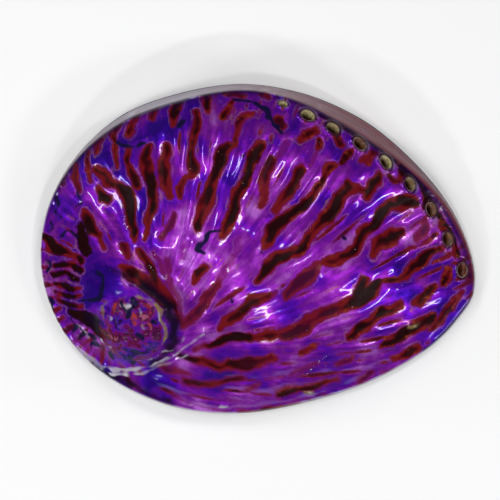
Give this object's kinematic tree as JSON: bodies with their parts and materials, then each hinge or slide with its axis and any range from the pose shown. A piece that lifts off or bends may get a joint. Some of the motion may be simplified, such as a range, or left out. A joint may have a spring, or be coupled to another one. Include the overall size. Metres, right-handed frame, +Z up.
{
  "type": "abalone shell",
  "caption": "Ear-shaped domed seashell, dyed and polished, with a low spire, a row of breathing pores along one shoulder and a hollow underside; it rests on its rim.",
  "frame": {"origin": "middle of the shell's outline, on the plane that its rim rests on", "axes": "+X along the shell from the spire's end to the growing end, +Y towards the row of pores, +Z up through the top of the dome"},
  "size_m": [0.1499, 0.1143, 0.035],
  "materials": {
    "dyed_nacre": "polished"
  },
  "bodies": {
    "root": {"abalone_shell": "dyed_nacre"}
  },
  "joints": []
}
